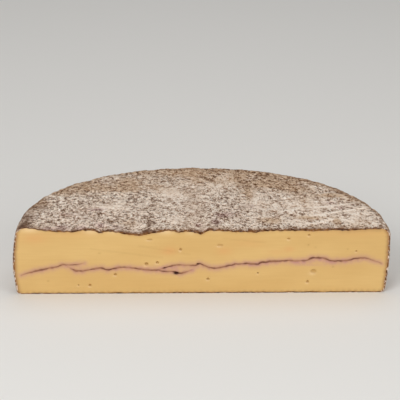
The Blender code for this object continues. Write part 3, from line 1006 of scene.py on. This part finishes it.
def make_paste(core, face):
    """The paste: the block inside the rind, with its cut face and the vein's slot."""
    piece = Piece("paste")
    piece.add_vertices(core.points)
    shown, vein = face.used(PASTE), face.used(VEIN)
    own = [index for index in np.unique(shown) if index not in face.core]
    places = piece.add_chosen(face.front, own)
    for index, source in face.core.items():
        places[index] = core.border[source]
    behind = piece.add_chosen(face.back, np.unique(vein))
    sides = np.where(face.points[shown].mean(axis=1)[:, 0] < 0, LEFT, RIGHT)
    piece.add_faces(core.faces, CORE)
    piece.add_faces(places[shown], sides)
    piece.add_faces(behind[vein], SLOT)
    piece.add_wall(places, behind, vein)
    made = piece.make(soft_pairs=({LEFT, RIGHT},))

    flat = np.array(piece.vertices)
    marks = {"rest": flat}
    for name, values in face.stains().items():
        marks[name] = np.zeros(len(flat))
        marks[name][places[places >= 0]] = values[places >= 0]
    set_attributes(made.data, marks)

    wide = WHEEL_RADIUS + 2 * UV_MARGIN
    across_up = flat[:, [0, 2]]
    unrolled = np.zeros((len(flat), 2))
    unrolled[: len(core.rest)] = core.unrolled
    piece.lay_out(made, {
        LEFT: (across_up + (WHEEL_RADIUS + UV_MARGIN, UV_MARGIN)) / wide,
        RIGHT: (across_up + (UV_MARGIN, WHEEL_HEIGHT + 2 * UV_MARGIN)) / wide,
        CORE: shrunk(unrolled, wide, *CORE_IN_PASTE),
        SLOT: shrunk(flat[:, :2], wide, *SLOT_IN_PASTE),
    })
    return made


def make_vein(face):
    """The vein: a thin wavy sheet whose front lies a little back in its slot."""
    piece = Piece("vein")
    vein = face.used(VEIN)
    inner = np.unique(vein)
    near = piece.add_chosen(face.front + (0, VEIN_RECESS, 0), inner)
    far = piece.add_chosen(face.back, inner)
    piece.add_faces(near[vein], CUT)
    piece.add_faces(far[vein], CORE)
    piece.add_wall(near, far, vein)
    made = piece.make()
    # The vein's thin and thick places, and painted shade in its hollows
    marks = {"faint": FAINT_PLACES, "strong": STRONG_PLACES, "cavity_shade": SHADED_CAVITIES}
    for name, places in marks.items():
        marks[name] = np.tile(spots(face.points[inner], places), 2)
    set_attributes(made.data, marks)
    return made


def principled(name, roughness, specular):
    """A material, a helper for its nodes and its Principled shader."""
    made = bpy.data.materials.new(name)
    made.use_nodes = True
    shader = made.node_tree.nodes["Principled BSDF"]
    shader.inputs["Roughness"].default_value = roughness
    shader.inputs["Specular IOR Level"].default_value = specular
    return made, Nodes(made.node_tree), shader


def rind_material():
    """Warm grey-white mould in felted crests over a brown under-layer, with painted shade at the rim and in
    the pits and painted highlight on the brightest crests.
    """
    made, nodes, shader = principled("mould_rind", 0.9, 0.2)
    where = nodes.number("rest", VECTOR)
    height = mould_height(nodes, where)
    fibre = nodes.noise(where, *FIBRE)
    tone = nodes.math("ADD", nodes.noise(where, *TONE), nodes.noise(where, BROAD_TONE))
    # Brown where the under-layer shows, which at the rim is painted shade and further back partly painted
    # shade
    brown = nodes.ramp(nodes.math("ADD", nodes.number("crust_and_shade"), tone), 1.0, 1.8)
    ground = nodes.mix(nodes.ramp(nodes.noise(where, GROUND_MOTTLE), 0.4, 0.6), *GROUND)
    ground = nodes.mix(brown, ground, BROWN_GROUND)
    ground = nodes.mix(nodes.ramp(nodes.number("mauve"), 0.1, 0.7), ground, MAUVE_GROUND)
    # The highest crests and fine fibres turn whitest, partly painted highlight
    bright = nodes.math("MAXIMUM", nodes.ramp(height, 0.7, 0.95), nodes.ramp(fibre, 0.45, 0.75))
    crest = nodes.mix(nodes.times(brown, 0.7), nodes.mix(bright, *CREST), BROWN_CREST)
    crest = nodes.tinted(crest, "mauve", 0.6, MAUVE_CREST)
    # The lowest mould turns dark brown, partly painted shade in the hollows
    pit = nodes.tinted(MOULD_PIT_AND_SHADE, "side", 0.6, SIDE_PIT_AND_SHADE)
    colour = nodes.mix(nodes.ramp(height, 0.0, 0.35), pit, ground)
    colour = nodes.mix(nodes.ramp(height, 0.24, 0.6), colour, crest)
    # Dark patches of mould, and painted shade at the rim
    colour = nodes.tinted(colour, "dark", 0.6, DARK_MOULD_AND_RIM_SHADE)
    bare = nodes.ramp(nodes.noise(where, *WORN), 0.42, 0.58, 1.0, 0.0)
    colour = nodes.tinted(colour, "fringe", bare, FRINGE)
    edge = nodes.mix(nodes.ramp(nodes.noise(where, *EDGE_MOTTLE), 0.4, 0.6), *EDGE)
    edge = nodes.tinted(edge, "crumbs", nodes.ramp(nodes.noise(where, CRUMB_PLACES), 0.53, 0.58), CRUMBS)
    ragged = nodes.times(nodes.noise(where, RAGGED), 0.6)
    inward = nodes.math("SUBTRACT", nodes.number("inward"), ragged)
    nodes.put(nodes.mix(nodes.ramp(inward, -0.2, 0.05), colour, edge), shader.inputs["Base Color"])
    relief = nodes.math("ADD", height, nodes.times(fibre, 0.4))
    nodes.put(nodes.bump(relief, *RIND_BUMP), shader.inputs["Normal"])
    return made


def paste_material():
    """Supple warm yellow paste."""
    made, nodes, shader = principled("paste", 0.5, 0.35)
    where = nodes.number("rest", VECTOR)
    broad, streaks = (nodes.noise(nodes.scaled(where, scales), 1, 3) for scales in PASTE_SCALES)
    colour = nodes.mix(nodes.ramp(broad, 0.35, 0.65), *PASTE_TONES)
    colour = nodes.mix(nodes.ramp(streaks, 0.35, 0.65, 0.0, 0.15), colour, STREAK)
    patchy = nodes.ramp(nodes.noise(where, STAIN_MOTTLE), 0.3, 0.7, 0.6, 1.2)
    for mark, strength, tint in PASTE_TINTS:
        share = nodes.times(patchy, strength) if mark == "stain" else strength
        colour = nodes.tinted(colour, mark, share, tint)
    nodes.put(colour, shader.inputs["Base Color"])
    fine = nodes.noise(where, *PASTE_FINE)
    nodes.put(nodes.bump(fine, *PASTE_BUMP), shader.inputs["Normal"])
    return made


def vein_material():
    """The dark line."""
    made, nodes, shader = principled("vein", 0.7, 0.3)
    patchy = nodes.noise(nodes.add("ShaderNodeTexCoord", output=3), *VEIN_MOTTLE)
    colour = nodes.mix(nodes.ramp(patchy, 0.35, 0.65), *VEIN_TONES)
    for tint in VEIN_TINTS:
        colour = nodes.tinted(colour, *tint)
    nodes.put(colour, shader.inputs["Base Color"])
    return made


def place_camera(cut):
    """The photograph's view."""
    data = bpy.data.cameras.new("camera")
    data.lens = CAMERA_LENS
    data.sensor_width = CAMERA_SENSOR
    camera = new_object("camera", data)
    turned = Euler((math.pi / 2 - CAMERA_ELEVATION, 0, CAMERA_YAW)).to_matrix().to_4x4()
    turned @= Matrix.Rotation(CAMERA_ROLL, 4, "Z") @ Matrix.Translation((0, 0, CAMERA_DISTANCE))
    camera.matrix_world = Matrix.Translation(cut + CAMERA_AIM) @ turned
    bpy.context.scene.camera = camera


def add_light(name, where, aim, size, watts):
    """A soft square light."""
    data = bpy.data.lights.new(name, "AREA")
    data.shape = "SQUARE"
    data.size = size
    data.energy = watts
    light = new_object(name, data)
    light.location = where
    light.rotation_euler = (Vector(where) - Vector(aim)).to_track_quat("Z", "Y").to_euler()


def make_stage():
    """A plain pale floor and a pale world."""
    mesh = bpy.data.meshes.new("floor")
    mesh.from_pydata(FLOOR_CORNERS, [], [(0, 1, 2, 3)])
    floor = new_object("floor", mesh)
    made, _, shader = principled("pale_floor", 0.8, 0.2)
    shader.inputs["Base Color"].default_value = srgb(*FLOOR_COLOUR)
    mesh.materials.append(made)
    world = bpy.data.worlds.new("studio")
    bpy.context.scene.world = world
    world.use_nodes = True
    sky = world.node_tree.nodes["Background"]
    sky.inputs["Color"].default_value = (1, 1, 1, 1)
    sky.inputs["Strength"].default_value = WORLD_STRENGTH
    for light in LIGHTS:
        add_light(*light)


outer_skin = Skin(SKIN_STEPS, MOST_HALVINGS)
outer_skin.raised = raised_by_mould(outer_skin)
core_skin = Skin(CORE_STEPS, 0)
core_depth = rind_thickness(core_skin.rest, core_skin.normals)
core_skin.points = core_skin.points - core_skin.normals * core_depth[:, None]
strands = [Strand(LAYER_COURSE), Strand(UPPER_BRANCH), Strand(LOWER_BRANCH)]
outer_border, core_border = outer_skin.raised[outer_skin.border], core_skin.points[core_skin.border]
cut_face = CutFace(outer_border[:, [0, 2]], core_border[:, [0, 2]], strands)
for cut_index, cut_source in cut_face.core.items():
    core_skin.points[core_skin.border[cut_source], 1] = cut_face.front[cut_index, 1]

rind = make_rind(outer_skin, core_skin, cut_face)
paste = make_paste(core_skin, cut_face)
vein = make_vein(cut_face)

cut_middle = Vector((0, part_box("cheese")[0].y, 0))
for made_piece, surface, stands_for, finish in (
    (rind, rind_material(), "cheese", "rind"),
    (paste, paste_material(), "cheese", "paste"),
    (vein, vein_material(), "vein_layer", "vein"),
):
    made_piece.data.transform(Matrix.Translation(cut_middle))
    made_piece.data.materials.append(surface)
    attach(made_piece, "root")
    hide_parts(stands_for)

make_stage()
place_camera(cut_middle)
bpy.context.scene.view_settings.view_transform = "Standard"
